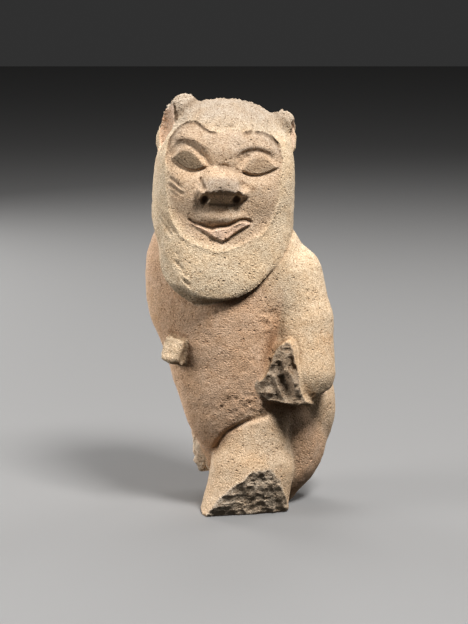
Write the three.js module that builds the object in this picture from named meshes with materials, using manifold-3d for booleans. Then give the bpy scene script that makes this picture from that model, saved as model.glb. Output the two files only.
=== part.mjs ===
// A broken limestone figure of Bes, the bearded household god with a lion's ears and mane.
// It is carved in one piece and stands on its broken underside.
// Millimetres, +Z up. The face looks along -Y, and the origin is on the underside.
import * as THREE from "three";
import { mergeVertices } from "three/addons/utils/BufferGeometryUtils.js";
import Module from "manifold-3d";

const { clamp, degToRad, lerp, smoothstep } = THREE.MathUtils;

// Driving dimension
const FIGURE_HEIGHT = 162; // underside to the tip of the taller ear

// The figure is free carving: every place and size below is in parts, even shares of its height.
const PARTS_IN_HEIGHT = 98.2;
const PART = FIGURE_HEIGHT / PARTS_IN_HEIGHT;

// Angles in degrees. A positive turn faces the figure towards its own right, the viewer's left.
const BODY_TURN = 25;
const HEAD_TURN = -4;
const HEAD_ROLL = 2.5;

// Head, mane and beard: one rounded block. Its frame has its origin at the middle of the head,
// with x to the viewer's right, y to the back and z up, and turns and rolls with the head.
const HEAD = { x: -4.1, y: 0, z: 74.2, halfWidth: 16.7, halfDepth: 15.6 };
const CROWN_RISE = 22.6;
const HEAD_POWER = 2.5;
const BEARD = { drop: 23.4, power: 2, lean: 2 }; // its U, whose tip leans to the viewer's left
const BEARD_FRONT_REACH = 40; // drop at which the front of the beard would meet the middle
const BEARD_JUT = { out: 3.4, from: 3, to: 24 }; // its front juts out, more and more between two drops
const BEARD_UNDERCUT = 0.35; // rise of its underside for each part towards the nape
const BEARD_SEGMENTS = 40;

// Ears: a front rim and a sheet behind it, as tapered rods, with a hollow between on the outer side,
// in the head's frame
const EARS = [
  {
    rim: { foot: [-11.2, -0.5, 13.3, 3.2], tip: [-9.9, -0.4, 19.7, 3.9] },
    sheet: { foot: [-13.4, 2.9, 11.2, 3], tip: [-11.9, 2.4, 17.7, 3.4] },
    hollow: { centre: [-14.7, -2, 15.4], half: [1.9, 3.4, 6.2] },
  },
  {
    rim: { foot: [13.6, -1, 11.9, 2.6], tip: [12.9, -1, 17.2, 3.4] },
    sheet: { foot: [14.6, 1.3, 11.4, 2.1], tip: [14, 1.4, 15.8, 2.8] },
    hollow: { centre: [16.7, -2.6, 14.5], half: [1.4, 2.8, 4.2] },
  },
];

// Torso sections: height, middle x and y, half sizes to the side and to the front, in the turned body
const TORSO = [
  [72, -3.5, 3, 9, 8],
  [66, -3.8, 1.8, 16.3, 12.2],
  [60, -4.2, 0.9, 18.4, 13.9],
  [53, -4.7, 0.5, 18.2, 14.5],
  [46, -4.6, 0.1, 17.4, 14.6],
  [38, -2.8, 0, 15.9, 14.2],
  [30, -0.8, 0.6, 15, 13.2],
  [22, 3.2, 2.8, 14.7, 13],
  [14, 6, 4.8, 13.8, 12.2],
  [7, 6.2, 4.8, 12.2, 11],
  [0, 3.8, 4, 8.6, 9],
  [-8, 2, 3, 4, 5],
];
const TORSO_POWER = 2.2;
const BELLY = { centre: [-1.5, -3.5, 28], half: [12.5, 10.2, 17] };
const LEFT_SHOULDER = { centre: [8.6, -1, 52], half: [10, 9, 10] };
const LEFT_HIP = { centre: [11.4, 8.2, 19.5], half: [11.2, 9.5, 12.6] };
const RIGHT_HIP = { centre: [0, 9.5, 20.5], half: [9.5, 8, 10] };

// Limbs: stations of x, y, z and radius
const LEFT_ARM = [
  [10, -2, 53.6, 9.7],
  [13.6, -4.4, 45, 7.9],
  [13.9, -7.2, 33, 8.3],
];
const FOREARM = [
  [13, -5, 31.4, 5.6],
  [9.4, -17.5, 31, 4.9],
];
const ELBOW_WEB = [
  [11.4, -5, 37.5, 3.2],
  [9.8, -17.5, 38.6, 2.6],
];
const HIP_WEB = [
  [9, -5, 30.5, 4.6],
  [6.2, -17.5, 30.4, 3.6],
];
const LEFT_THIGH = [
  [9.8, 6.8, 26, 12],
  [3.4, -3.9, 21.5, 9.5],
  [3.1, -5.2, 16.5, 8.9],
  [2.7, -6, 10, 9.8],
  [0.8, -7.9, 0, 10.1],
  [-1, -12, -5.5, 9.5],
];
const RIGHT_THIGH = [
  [-2, 7, 18, 9.4],
  [-3, 6, 6, 9],
];
const HIP_INSET = 1.5; // the torso's own copy of the left hip lies this far inside the leg's
const FLESH_BLEND = 5;
const JOINT_BLEND = 2;
const LIMB_BLEND = 1;

// A small broken knob on the right flank
const KNOB = { centre: [-14.9, -9.4, 38.5], half: [2.8, 3.2, 3.3] };

// Surfaces of a figure at [x, y, z] in parts: negative inside, close to a distance near the surface.
function ellipsoid([x, y, z], { centre, half }, turn = 0) {
  const [side, front] = turned(x - centre[0], y - centre[1], turn);
  const up = z - centre[2];
  const near = Math.hypot(side / half[0], front / half[1], up / half[2]);
  const steep = Math.hypot(side / half[0] ** 2, front / half[1] ** 2, up / half[2] ** 2);
  return steep > 0 ? (near * (near - 1)) / steep : -Math.min(...half);
}

function turned(x, y, turn) {
  const c = Math.cos(degToRad(turn));
  const s = Math.sin(degToRad(turn));
  return [x * c - y * s, x * s + y * c];
}

function rod(p, a, b) {
  const ab = b.map((v, i) => v - a[i]);
  const t = clamp(dot(p.map((v, i) => v - a[i]), ab) / dot(ab, ab), 0, 1);
  const [x, y, z] = p.map((v, i) => v - lerp(a[i], b[i], t));
  return Math.hypot(x, y, z) - lerp(a[3], b[3], t);
}

function dot(a, b) {
  return a[0] * b[0] + a[1] * b[1] + a[2] * b[2];
}

function limb(p, stations) {
  let form = rod(p, stations[0], stations[1]);
  for (let i = 2; i < stations.length; i++) {
    form = blend(form, rod(p, stations[i - 1], stations[i]), LIMB_BLEND);
  }
  return form;
}

// Joins two surfaces with a fillet.
function blend(a, b, width) {
  const h = Math.max(width - Math.abs(a - b), 0);
  return Math.min(a, b) - (h * h) / (4 * width);
}

function superEllipse(a, b, power) {
  return (Math.abs(a) ** power + Math.abs(b) ** power) ** (1 / power) - 1;
}

// A smooth curve through the rows of a table, whose first column runs up or down.
function along(table, at) {
  const sign = Math.sign(table[1][0] - table[0][0]);
  const found = table.findIndex((row) => sign * row[0] > sign * at);
  const i = clamp(found < 0 ? table.length - 1 : found, 1, table.length - 1);
  const rows = [table[Math.max(i - 2, 0)], table[i - 1], table[i], table[Math.min(i + 1, table.length - 1)]];
  const t = clamp((at - rows[1][0]) / (rows[2][0] - rows[1][0]), 0, 1);
  return rows[1].slice(1).map((_, k) => {
    const [a, b, c, d] = rows.map((row) => row[k + 1]);
    return b + 0.5 * t * (c - a + t * (2 * a - 5 * b + 4 * c - d + t * (3 * (b - c) + d - a)));
  });
}

function torso(p) {
  const [x, y, side, front] = along(TORSO, p[2]);
  const [a, b] = turned(p[0] - x, p[1] - y, BODY_TURN);
  const ends = Math.max(p[2] - TORSO[0][0], TORSO.at(-1)[0] - p[2]);
  const wall = Math.max(superEllipse(a / side, b / front, TORSO_POWER) * Math.min(side, front), ends);
  const flesh = [
    ellipsoid(p, BELLY),
    ellipsoid(p, LEFT_SHOULDER),
    ellipsoid(p, LEFT_HIP, BODY_TURN) + HIP_INSET,
    ellipsoid(p, RIGHT_HIP, BODY_TURN),
    limb(p, RIGHT_THIGH),
  ];
  return flesh.reduce((form, one) => blend(form, one, FLESH_BLEND), wall);
}

function arm(p) {
  const forward = [FOREARM, ELBOW_WEB, HIP_WEB].map((one) => limb(p, one));
  return forward.reduce((form, one) => blend(form, one, JOINT_BLEND), limb(p, LEFT_ARM));
}

function thigh(p) {
  return blend(limb(p, LEFT_THIGH), ellipsoid(p, LEFT_HIP, BODY_TURN), FLESH_BLEND);
}

function beardJut(z) {
  return BEARD_JUT.out * smoothstep(-z, BEARD_JUT.from, BEARD_JUT.to);
}

// The rounded block of head, mane and beard in the head's frame, and the y of its front.
function headBlock([x, y, z]) {
  const up = z / (z > 0 ? CROWN_RISE : BEARD_FRONT_REACH);
  const deep = y + beardJut(z) * smoothstep(-y, 2, 5);
  const powers = [x / HEAD.halfWidth, deep / HEAD.halfDepth, up].map((v) => Math.abs(v) ** HEAD_POWER);
  return (powers.reduce((sum, v) => sum + v, 0) ** (1 / HEAD_POWER) - 1) * HEAD.halfDepth;
}

function headFront(x, z) {
  const up = z / (z > 0 ? CROWN_RISE : BEARD_FRONT_REACH);
  const rest = 1 - Math.abs(x / HEAD.halfWidth) ** HEAD_POWER - Math.abs(up) ** HEAD_POWER;
  return -HEAD.halfDepth * Math.max(0, rest) ** (1 / HEAD_POWER) - beardJut(z);
}

// Face, in the head's frame
const FACE = { x: -0.9, z: 4.5, halfWidth: 13.4, drop: 15.5, power: 2.3, sunk: 0.9 };
const HAIRLINE = [
  // x, height
  [-14.3, 8.8],
  [-13.4, 13],
  [-11.6, 15.6],
  [-9.1, 17.1],
  [-6.3, 16.8],
  [-3.4, 15.2],
  [-0.5, 15.7],
  [3.3, 15.6],
  [7, 15.6],
  [9.8, 14.6],
  [11.6, 12.8],
  [12.5, 9.3],
];
const SWELLINGS = [
  // x, height, half width, half height, how far it stands out
  [-9.4, 2.1, 4.8, 6, 1.3],
  [8, 1.4, 5.2, 6.5, 1.3],
  [-0.8, 13.6, 11, 4, 0.8],
  [-1.2, 9.8, 3.6, 3.6, 0.8],
  [-1.5, -3.2, 8, 2.6, 1.5],
  [-6.8, 0.8, 1.8, 2.2, 1.7],
  [3.6, 1.1, 1.8, 2.2, 1.7],
];
const EYES = [
  { x: -9.2, z: 8.3, halfLength: 4, halfHeight: 2, slant: -9, brow: 1.6 },
  { x: 7.2, z: 7.6, halfLength: 4.2, halfHeight: 2, slant: 5, brow: 1.4 },
];
const NOSE_X = -1.6;
const NOSE = [
  // height, how far it stands out, half width
  [8.2, 0, 2.6],
  [7, 0.9, 3.4],
  [5.2, 3.5, 4.3],
  [4, 4.6, 4.8],
  [2.8, 5.1, 5.4],
  [2, 4.7, 5.7],
  [1, 3.5, 5.7],
  [0.2, 2.3, 5.5],
  [-0.6, 0.9, 5],
  [-1.2, 0, 4.5],
];
const NOSTRILS = [-5.4, 1.8];
const MOUTH = [
  // x, height of the opening, lower edge of lip and tongue
  [-9, -4.3, -4.5],
  [-6, -5.6, -7],
  [-3, -6.4, -8.5],
  [-0.8, -5.8, -9.4],
  [1.5, -5, -8],
  [3.5, -4.4, -6.5],
  [6.2, -5, -5.2],
];

// A low round swelling, 1 at its middle and 0 at its rim.
function dome(dx, dz, rx, rz) {
  return Math.max(0, 1 - (dx / rx) ** 2 - (dz / rz) ** 2) ** 1.5;
}

// A line's height across its width.
function line(distance, width) {
  return Math.exp(-((distance / width) ** 2));
}

const SOFT = 1; // half width of the soft edges of eyes and lips
const SOCKET = { depth: 1.2, lift: 0.4, longer: 1.5, higher: 2.3 };
const EYEBALL = { height: 1, bulge: 0.5 };
const BROW = { depth: 0.7, bow: 0.5, longer: 1.3, halfWidth: 0.8 };

function eyeRelief(x, z, eye) {
  const [length, up] = turned(x - eye.x, z - eye.z, -eye.slant);
  const lid = eye.halfHeight * (1 - (length / eye.halfLength) ** 2);
  const inside = smoothstep(lid - Math.abs(up), -SOFT, SOFT);
  const bulge = dome(length, up, eye.halfLength, eye.halfHeight);
  const socketHalf = [eye.halfLength * SOCKET.longer, eye.halfHeight * SOCKET.higher];
  const socket = dome(length, up - SOCKET.lift, ...socketHalf);
  const fold = eye.halfHeight * (1 - BROW.bow * (length / eye.halfLength) ** 2) + eye.brow;
  const brow = Math.abs(length) < eye.halfLength * BROW.longer ? line(up - fold, BROW.halfWidth) : 0;
  return EYEBALL.height * inside + EYEBALL.bulge * bulge - SOCKET.depth * socket - BROW.depth * brow;
}

const NOSTRIL = { z: 0.7, halfWidth: 1.4, halfHeight: 1.3, depth: 1.3 };
const NOSE_POWER = 2.4;
const NOSE_FALL = 0.75; // under 1 rounds the bulb, over 1 sharpens its bridge

function noseRelief(x, z) {
  if (z > NOSE[0][0] || z < NOSE.at(-1)[0]) return 0;
  const [out, half] = along(NOSE, z);
  const round = Math.max(0, 1 - Math.abs((x - NOSE_X) / half) ** NOSE_POWER) ** NOSE_FALL;
  const hole = (at) => dome(x - at, z - NOSTRIL.z, NOSTRIL.halfWidth, NOSTRIL.halfHeight);
  return out * round - NOSTRIL.depth * (hole(NOSTRILS[0]) + hole(NOSTRILS[1]));
}

const LIP = { height: 0.9, from: [-9, -7], to: [4.6, 6.4], opening: 0.7, under: 0.4 };
const TONGUE = { height: 1.6, from: [-2.8, -1.4] };

function mouthRelief(x, z) {
  const [opening, lowest] = along(MOUTH, x);
  const below = 1 - smoothstep(z, opening - SOFT, opening + SOFT);
  const lip = below * smoothstep(z, lowest - SOFT, lowest + SOFT);
  const height = lerp(LIP.height, TONGUE.height, smoothstep(x, ...TONGUE.from));
  const ends = smoothstep(x, ...LIP.from) * (1 - smoothstep(x, ...LIP.to));
  const grooves = LIP.opening * line(z - opening, SOFT) + LIP.under * line(z - lowest + SOFT, SOFT);
  return ends * (height * lip - grooves);
}

// How far the carving of the face stands out in front of the block of the head.
function faceRelief(x, z) {
  let relief = noseRelief(x, z) + mouthRelief(x, z) - FACE.sunk;
  for (const eye of EYES) relief += eyeRelief(x, z, eye);
  for (const [at, height, rx, rz, out] of SWELLINGS) relief += out * dome(x - at, z - height, rx, rz);
  return relief;
}

// Skins: a sphere's mesh drawn onto a form, along rays from an upright axis inside it
const SEARCH_FROM = 45;
const SEARCH_STEP = 0.5;
const SEARCH_HALVINGS = 14;

function surfaceAlong(form, from, direction) {
  const at = (t) => from.map((v, i) => v + direction[i] * t);
  let far = SEARCH_FROM;
  while (far > 0 && form(at(far)) > 0) far -= SEARCH_STEP;
  let near = far;
  far += SEARCH_STEP;
  for (let i = 0; i < SEARCH_HALVINGS; i++) {
    const middle = (near + far) / 2;
    if (form(at(middle)) > 0) far = middle;
    else near = middle;
  }
  return at(near);
}

function skin(form, { axis, low, high, columns, topRows, sideRows, lowRows }) {
  const rows = topRows + sideRows + lowRows;
  const sphere = new THREE.SphereGeometry(1, columns, rows);
  const position = sphere.getAttribute("position");
  for (let i = 0; i < position.count; i++) {
    const around = (2 * Math.PI * (i % (columns + 1) % columns)) / columns;
    const row = Math.floor(i / (columns + 1));
    const tilt = row < topRows ? 1 - row / topRows : -Math.max(0, row - topRows - sideRows) / lowRows;
    const z = lerp(high, low, clamp((row - topRows) / sideRows, 0, 1));
    const up = Math.abs(tilt) === 1 ? tilt : Math.sin((tilt * Math.PI) / 2);
    const out = Math.sqrt(1 - up * up);
    const direction = [out * Math.sin(around), -out * Math.cos(around), up];
    position.setXYZ(i, ...surfaceAlong(form, [...axis, z], direction));
  }
  return sphere;
}

const wasm = await Module();
wasm.setup();

function solidOf(geometry) {
  const bare = geometry.clone();
  bare.deleteAttribute("normal");
  bare.deleteAttribute("uv");
  const merged = mergeVertices(bare, 1e-3);
  return new wasm.Manifold(
    new wasm.Mesh({
      numProp: 3,
      vertProperties: merged.attributes.position.array,
      triVerts: new Uint32Array(merged.index.array),
    }),
  );
}

function geometryOf(solid) {
  const mesh = solid.getMesh();
  return new THREE.BufferGeometry()
    .setAttribute("position", new THREE.BufferAttribute(mesh.vertProperties, 3))
    .setIndex(new THREE.BufferAttribute(mesh.triVerts, 1));
}

// Prisms and blocks that cut the stone run past it on all sides
const CLEAR = 10;
const REACH = 40;

// A prism along y through an outline seen from the front.
function prism(outline, back) {
  const settings = { depth: back + REACH, bevelEnabled: false, curveSegments: 1 };
  const geometry = new THREE.ExtrudeGeometry(new THREE.Shape(outline), settings);
  return solidOf(geometry.rotateX(Math.PI / 2).translate(0, back, 0));
}

// The lower half of a super-ellipse, from left to right.
function bowl({ x, z, halfWidth, drop, power, lean }, segments) {
  const bend = (v) => Math.sign(v) * Math.abs(v) ** (2 / power);
  return Array.from({ length: segments + 1 }, (_, i) => {
    const angle = (Math.PI * i) / segments;
    const low = bend(Math.sin(angle));
    return new THREE.Vector2(x - halfWidth * bend(Math.cos(angle)) - lean * low, z - drop * low);
  });
}

// The block of the head is cut to the beard's U below and runs on freely above.
function beardOutline() {
  const right = HEAD.halfWidth + CLEAR;
  const top = CROWN_RISE + CLEAR;
  const above = [[right, CLEAR], [right, top], [-right, top], [-right, CLEAR]];
  const low = bowl({ x: 0, z: 0, halfWidth: HEAD.halfWidth, ...BEARD }, BEARD_SEGMENTS);
  return [...low, ...above.map(([x, z]) => new THREE.Vector2(x, z))];
}

function faceOutline(margin) {
  const { halfWidth, drop } = FACE;
  const low = bowl({ ...FACE, halfWidth: halfWidth - margin, drop: drop - margin, lean: 0 }, FACE_SEGMENTS);
  const [left, right] = [HAIRLINE[0][0] + margin, HAIRLINE.at(-1)[0] - margin];
  const high = low.map((_, i) => {
    const at = lerp(right, left, i / FACE_SEGMENTS);
    return new THREE.Vector2(at, along(HAIRLINE, at)[0] - margin);
  });
  return [...low, ...high];
}

// The face is a finely carved plug in a recess of the same outline. The recess is a hair
// narrower and shallower than the plug, so that the two join with no gap.
const FACE_CELL = 0.64;
const FACE_SEGMENTS = 36;
const FACE_TOP = 18.3;
const FACE_BORDER = 1;
const RECESS_MARGIN = 0.06;
const RECESS_BACK = -5;
const PLUG_BACK = -4;

function facePlug() {
  const width = 2 * (FACE.halfWidth + FACE_BORDER);
  const foot = FACE.z - FACE.drop - FACE_BORDER;
  const height = FACE_TOP - foot;
  const cells = [width, height].map((size) => Math.round(size / FACE_CELL));
  const block = new THREE.BoxGeometry(width, height, 1, ...cells, 1);
  block.rotateX(Math.PI / 2).translate(FACE.x, 0, foot + height / 2);
  const position = block.getAttribute("position");
  for (let i = 0; i < position.count; i++) {
    const [x, z] = [position.getX(i), position.getZ(i)];
    const isFront = position.getY(i) < 0;
    position.setY(i, isFront ? headFront(x, z) - faceRelief(x, z) : PLUG_BACK);
  }
  return solidOf(block).intersect(prism(faceOutline(0), 0));
}

const HEAD_SKIN = { axis: [0, 0], low: -28.2, high: 11.8, columns: 42, topRows: 8, sideRows: 12, lowRows: 2 };
const TORSO_SKIN = { axis: [0, 3], low: 5, high: 62, columns: 32, topRows: 3, sideRows: 20, lowRows: 2 };
const ARM_SKIN = { axis: [11.5, -5.5], low: 33, high: 52, columns: 22, topRows: 5, sideRows: 10, lowRows: 5 };
const THIGH_SKIN = { axis: [5, -3], low: 0, high: 20, columns: 24, topRows: 6, sideRows: 9, lowRows: 2 };
const ROD_SKIN = { columns: 14, topRows: 4, sideRows: 2, lowRows: 4 };
const ROUND_SKIN = { columns: 12, topRows: 3, sideRows: 1, lowRows: 3 };

function headSolid() {
  const under = new THREE.BoxGeometry(2 * REACH, 2 * REACH, REACH).translate(0, 0, -REACH / 2);
  under.rotateX(Math.atan(BEARD_UNDERCUT)).translate(0, -HEAD.halfDepth, -BEARD.drop);
  const block = solidOf(skin(headBlock, HEAD_SKIN))
    .intersect(prism(beardOutline(), REACH))
    .subtract(solidOf(under))
    .subtract(prism(faceOutline(RECESS_MARGIN), RECESS_BACK))
    .add(facePlug());
  const whole = EARS.reduce((solid, { rim, sheet, hollow }) => {
    return solid.add(rodSolid(sheet)).add(rodSolid(rim)).subtract(roundSolid(hollow));
  }, block);
  return whole
    .rotate([0, HEAD_ROLL, 0])
    .rotate([0, 0, -HEAD_TURN])
    .translate([HEAD.x, HEAD.y, HEAD.z]);
}

// A tapered rod or an ellipsoid as a solid of its own
function rodSolid({ foot, tip }) {
  const [x, y, z] = foot.map((v, i) => (v + tip[i]) / 2);
  return solidOf(skin((p) => rod(p, foot, tip), { ...ROD_SKIN, axis: [x, y], low: z - 1, high: z + 1 }));
}

function roundSolid(one) {
  const [x, y, z] = one.centre;
  return solidOf(skin((p) => ellipsoid(p, one), { ...ROUND_SKIN, axis: [x, y], low: z - 1, high: z + 1 }));
}

// Breaks: each is a block with one rough face, taken off its limb
const THIGH_BREAK = { at: [5.6, -14.6, 7.9], facing: [0.27, -0.85, -0.45], size: 44, rough: 0.5 };
const FOREARM_BREAK = { at: [10, -16.4, 32.4], facing: [0.1, -1, -0.05], size: 22, rough: 0.4 };
const ELBOW_UNDER = { at: [15.8, -13, 26.9], facing: [0.45, -0.1, -0.89], size: 26, rough: 0 };
const STUMP_BREAK = { at: [-9.5, 4, 10.6], facing: [-0.88, -0.1, -0.45], size: 26, rough: 0.5 };
const BREAK_DEPTH = 30;
const BREAK_CELLS = 13;

const NOISE_STEP = 12.9898;
const NOISE_SCALE = 43758.5453;
const ROW_STEP = 100; // keeps the corners of one row apart from those of the next

// A different height between -1 and 1 for each corner of a rough face.
function roughness(corner) {
  return 2 * ((Math.abs(Math.sin(NOISE_STEP * (corner + 0.5))) * NOISE_SCALE) % 1) - 1;
}

function breakBlock({ at, facing, size, rough }) {
  const cell = size / BREAK_CELLS;
  const block = new THREE.BoxGeometry(size, size, BREAK_DEPTH, BREAK_CELLS, BREAK_CELLS, 1);
  block.translate(0, 0, BREAK_DEPTH / 2);
  const position = block.getAttribute("position");
  for (let i = 0; i < position.count; i++) {
    if (position.getZ(i) < cell / 2) {
      const [column, row] = [position.getX(i), position.getY(i)].map((v) => Math.round(v / cell));
      position.setZ(i, rough * roughness(column + ROW_STEP * row));
    }
  }
  const turn = new THREE.Quaternion().setFromUnitVectors(
    new THREE.Vector3(0, 0, 1),
    new THREE.Vector3(...facing).normalize(),
  );
  return solidOf(block.applyQuaternion(turn).translate(...at));
}

const floor = new THREE.BoxGeometry(2 * REACH, 2 * REACH, REACH).translate(0, 0, -REACH / 2);
const stone = headSolid()
  .add(solidOf(skin(torso, TORSO_SKIN)).subtract(breakBlock(STUMP_BREAK)))
  .add(solidOf(skin(arm, ARM_SKIN)).subtract(breakBlock(FOREARM_BREAK)).subtract(breakBlock(ELBOW_UNDER)))
  .add(solidOf(skin(thigh, THIGH_SKIN)).subtract(breakBlock(THIGH_BREAK)))
  .add(roundSolid(KNOB))
  .subtract(solidOf(floor));

const limestone = new THREE.MeshStandardMaterial({ color: 0xcdb596, roughness: 0.95, metalness: 0 });
const figure = new THREE.Mesh(geometryOf(stone.scale([PART, PART, PART])), limestone);
figure.name = "bes_figure";

const part = new THREE.Group();
part.add(figure);
export default part;
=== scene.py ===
import math

import bmesh
import bpy
import numpy as np
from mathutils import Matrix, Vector


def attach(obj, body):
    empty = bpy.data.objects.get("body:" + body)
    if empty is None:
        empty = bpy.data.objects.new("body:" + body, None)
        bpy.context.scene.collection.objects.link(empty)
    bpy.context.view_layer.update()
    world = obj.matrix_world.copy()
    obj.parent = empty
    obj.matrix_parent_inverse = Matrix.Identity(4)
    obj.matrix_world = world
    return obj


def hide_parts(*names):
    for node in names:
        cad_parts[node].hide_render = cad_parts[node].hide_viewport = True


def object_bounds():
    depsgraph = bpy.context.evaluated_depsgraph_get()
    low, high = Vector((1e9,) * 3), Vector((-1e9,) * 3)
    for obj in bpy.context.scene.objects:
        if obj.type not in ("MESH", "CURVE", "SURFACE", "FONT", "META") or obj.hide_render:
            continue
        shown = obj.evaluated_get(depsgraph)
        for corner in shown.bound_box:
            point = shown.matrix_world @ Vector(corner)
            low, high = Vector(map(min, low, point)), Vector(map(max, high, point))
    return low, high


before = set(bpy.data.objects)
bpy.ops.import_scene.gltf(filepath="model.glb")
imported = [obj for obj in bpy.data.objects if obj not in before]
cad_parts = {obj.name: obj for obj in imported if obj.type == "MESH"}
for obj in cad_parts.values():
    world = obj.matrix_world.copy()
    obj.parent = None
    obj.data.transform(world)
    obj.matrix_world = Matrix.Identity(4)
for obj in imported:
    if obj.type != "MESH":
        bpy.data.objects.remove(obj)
cad_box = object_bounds()

# Every place and size of the carving is in parts, even shares of the figure's height.
# Its frame is the solid's: x to the viewer's right, y to the back, z up.
PARTS_IN_HEIGHT = 98.18
PART = (cad_box[1].z - cad_box[0].z) / PARTS_IN_HEIGHT

# Angles in degrees. A positive turn faces the figure to the viewer's left.
BODY_TURN = 25
HEAD_TURN = -4
HEAD_ROLL = 2.5

# The head's frame has its origin at the middle of the head, and turns and rolls with it.
HEAD_AT = (-4.1, 0, 74.2)
HEAD_HALF = (16.7, 15.6)
CROWN_RISE = 22.6
HEAD_POWER = 2.5
BEARD_FRONT_REACH = 40
BEARD_UNDERCUT = 0.35  # rise of its underside for each part towards the nape
BEARD_UNDER = 24.4  # drop of the underside at the front
BEARD_JUT = (3.4, 3, 24)  # how far its front juts out at the bottom, and between which drops it grows
BEARD_FACE = 15.4  # how far forward the slanting underside of the beard starts
BEARD_SLANT = 1.2  # how fast it slants
BEARD_ROUND = 0.3
UNDER_ROUND = 0.2
RIM_WIDTH = 2  # how far the rim below the beard stands outside its edge
RIM_DROPS = (11, 19)  # between these drops it grows
RIM_END = (3, 8)  # and between these places across it ends
RIM_UNDER = (0.5, 15.5, 26.3)  # slope of the rim's underside, how far forward it starts, and its drop
FACE_REACH = 17  # the carving of the face lies within this width to either side,
FACE_LOWEST = -12  # above this height,
FACE_FRONT = (2, 5)  # and grows between these places in front of the head's middle

EARS = [
    # rim and sheet as rods of x, y, z, radius, and the middle and half sizes of the hollow
    ((-11.2, -0.5, 13.3, 3.2), (-9.9, -0.4, 19.7, 3.9),
     (-13.4, 2.9, 11.2, 3.0), (-11.9, 2.4, 17.7, 3.4), (-14.7, -2, 15.4), (1.9, 3.4, 6.2)),
    ((13.6, -1, 11.9, 2.6), (12.9, -1, 17.2, 3.4),
     (14.6, 1.3, 11.4, 2.1), (14, 1.4, 15.8, 2.8), (16.7, -2.6, 14.5), (1.4, 2.8, 4.2)),
]
EAR_SLITS = [
    # narrow cuts inside the rims: two ends and a radius
    ((-13.3, -2.9, 20.9, 0.32), (-12.3, -3.7, 17.3, 0.32)),
    ((15.6, -2.4, 17.6, 0.25), (15.4, -3.2, 14.6, 0.25)),
]
EAR_BLEND = 0.8
EAR_FILLET = 0.6
HOLLOW_ROUND = 0.3
SLIT_ROUND = 0.15

TORSO = [
    # height, middle x and y, half sizes to the side and to the front, in the turned body
    (72, -3.5, 3, 9, 8),
    (66, -3.8, 1.8, 16.3, 12.2),
    (60, -4.2, 0.9, 18.4, 13.9),
    (53, -4.7, 0.5, 18.2, 14.5),
    (46, -4.6, 0.1, 17.4, 14.6),
    (38, -2.8, 0, 15.9, 14.2),
    (30, -0.8, 0.6, 15, 13.2),
    (22, 3.2, 2.8, 14.7, 13),
    (14, 6, 4.8, 13.8, 12.2),
    (7, 6.2, 4.8, 12.2, 11),
    (0, 3.8, 4, 8.6, 9),
    (-8, 2, 3, 4, 5),
]
TORSO_POWER = 2.2
BELLY = ((-1.5, -3.5, 28), (12.5, 10.2, 17))
LEFT_SHOULDER = ((8.6, -1, 52), (10, 9, 10))
LEFT_HIP = ((11.4, 8.2, 19.5), (11.2, 9.5, 12.6))
RIGHT_HIP = ((0, 9.5, 20.5), (9.5, 8, 10))
LEFT_ARM = [(10, -2, 53.6, 9.7), (13.6, -4.4, 45, 7.9), (14.2, -6.9, 33, 8)]
LEFT_THIGH = [(9.8, 6.8, 26, 12), (3.4, -3.9, 21.5, 9.5), (3.1, -5.2, 16.5, 8.9), (2.7, -6, 10, 9.8),
              (0.8, -7.9, 0, 10.1), (-1, -12, -5.5, 9.5)]
RIGHT_THIGH = [(-2, 7, 18, 9.4), (-3, 6, 6, 9)]
HIP_INSET = 1.5
FLESH_BLEND = 5
LIMB_BLEND = 1
SMALL_FILLET = 0.3
ARM_FILLET = 0.5
THIGH_FILLET = 0.4
KNOB = ((-14.9, -9.4, 38.5), (2.5, 2.9, 3.1), (35, 8, 15), 0.5)  # middle, half sizes, turns, roundness
KNOB_SWELL = 0.2
KNOB_LEDGES = [(2.4, 0.4, 33)]
KNOB_RIPPLES = (1.1, 34)
STUMP_LUMP = ((-8.8, 2.6, 12.6), (2.7, 4, 6.8))
STUMP_LUMP_SWELL = 0.4
STUMP_LUMP_LEDGES = [(2.6, 1.2, 31), (1.2, 0.6, 32)]  # size, height and seed of noises, large and small

# Breaks: a place on each, the way it faces, and how rough it is
THIGH_BREAK = ((5.6, -14.6, 7.9), (0.2, -0.91, -0.36), 0.6)
FOREARM_BREAK = ((10, -15.8, 32.3), (-0.2, -0.97, -0.05), 0.7)
ELBOW_UNDER = ((15.8, -13, 26.9), (0.45, -0.1, -0.89), 0.25)
STUMP_BREAK = ((-9.5, 4, 10.6), (-0.88, -0.1, -0.45), 1.0)
BREAK_ROUND = 0.15
STUMP_ROUND = 0.4
LEDGES = [(5, 1, 3), (2.2, 0.7, 4), (1, 0.4, 5)]  # size, height for a roughness of 1, seed
LEDGE_MIDDLE = 0.45
FOREARM_DEEP = 9
FOREARM_WIDENING = 0.12  # for each part behind the break
SCAR = [
    # the outline of the forearm's break, across and up from its place
    (1.1, 9.4), (2.1, 7.5), (2.3, 5.6), (3.3, 0.7), (4.2, -3), (5.4, -6.1), (3.4, -5.5), (1.1, -5.2),
    (-1.6, -4.8), (-3.9, -4.5), (-5.3, -3.3), (-6.4, -1), (-5.1, 0.8), (-3.9, 2.8), (-2.7, 6.4),
    (-1.3, 8.5), (0.3, 9.5),
]
SCAR_RIDGES = [
    # how far it stands out, half width, then its places across and up
    (0.9, 0.7, [(0.1, 3.7), (1.9, 1.2), (4, -3.1)]),
    (0.7, 0.6, [(0.8, 7.3), (0.1, 4.3), (-0.3, 1.4)]),
    (-0.9, 0.7, [(-1.5, 4.9), (-0.6, 0.4), (1.1, -3.3)]),
    (-0.6, 0.6, [(1.5, 6.2), (1.7, 2.8)]),
    (0.5, 0.5, [(-2.6, 2), (-1.5, -1.5), (-0.2, -4.2)]),
]
SCAR_BOSS = ((-3.7, -2.4), 1.4, 1.1)  # middle across and up, radius, how far it stands out


# Plain helpers
def smooth(v, low, high):
    t = np.clip((v - low) / (high - low), 0, 1)
    return t * t * (3 - 2 * t)


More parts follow.
